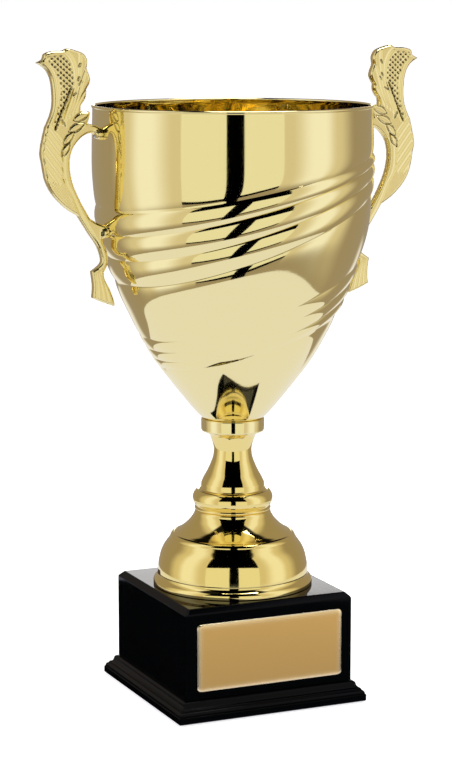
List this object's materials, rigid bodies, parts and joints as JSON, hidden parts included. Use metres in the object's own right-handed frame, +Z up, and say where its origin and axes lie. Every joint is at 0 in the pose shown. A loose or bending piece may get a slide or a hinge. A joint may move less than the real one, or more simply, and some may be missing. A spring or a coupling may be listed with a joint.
{
  "type": "cup trophy",
  "caption": "Tall gold-finish cup trophy with rippled tapering bowl, scrolled relief handles, turned riser and black square plinth with blank plate",
  "frame": {"origin": "centre of the square base's underside, on the surface that the trophy stands on and under the cup's axis", "axes": "+Z up along the cup's axis, -Y out of the nameplate, handles along +X and -X"},
  "size_m": [0.2368, 0.1616, 0.3769],
  "materials": {
    "gilt_steel": "spun sheet, polished and gold plated, mirror bright",
    "gilt_collar": "turned ring, gold plated, mirror bright",
    "gilt_casting": "die-cast relief, gold plated, bright with darker recesses",
    "gilt_moulding": "vacuum-metallised gold over a hollow moulding, mirror bright",
    "black_lacquer": "black piano lacquer on fibreboard, high gloss",
    "brushed_plate": "gold anodised, fine horizontal brushing, crowned with a rolled edge, blank",
    "adhesive": "double-sided foam tape",
    "felt": "pressed wool felt, black",
    "zinc_steel": "bright zinc plated"
  },
  "bodies": {
    "root": {"felt_pad": "felt", "base_plinth": "black_lacquer", "base_block": "black_lacquer", "plinth_screw_1": "zinc_steel", "plinth_screw_2": "zinc_steel", "plinth_screw_3": "zinc_steel", "plinth_screw_4": "zinc_steel", "nameplate_adhesive": "adhesive", "nameplate": "brushed_plate", "tie_rod": "zinc_steel", "base_nut": "zinc_steel", "base_washer": "zinc_steel", "foot_bell": "gilt_moulding", "stem_neck": "gilt_moulding", "collar": "gilt_collar", "bowl": "gilt_steel", "bowl_washer": "zinc_steel", "bowl_nut": "zinc_steel", "handle_left": "gilt_casting", "handle_screw_left_upper": "zinc_steel", "handle_washer_left_upper": "zinc_steel", "handle_screw_left_lower": "zinc_steel", "handle_washer_left_lower": "zinc_steel", "handle_right": "gilt_casting", "handle_screw_right_upper": "zinc_steel", "handle_washer_right_upper": "zinc_steel", "handle_screw_right_lower": "zinc_steel", "handle_washer_right_lower": "zinc_steel"}
  },
  "joints": []
}
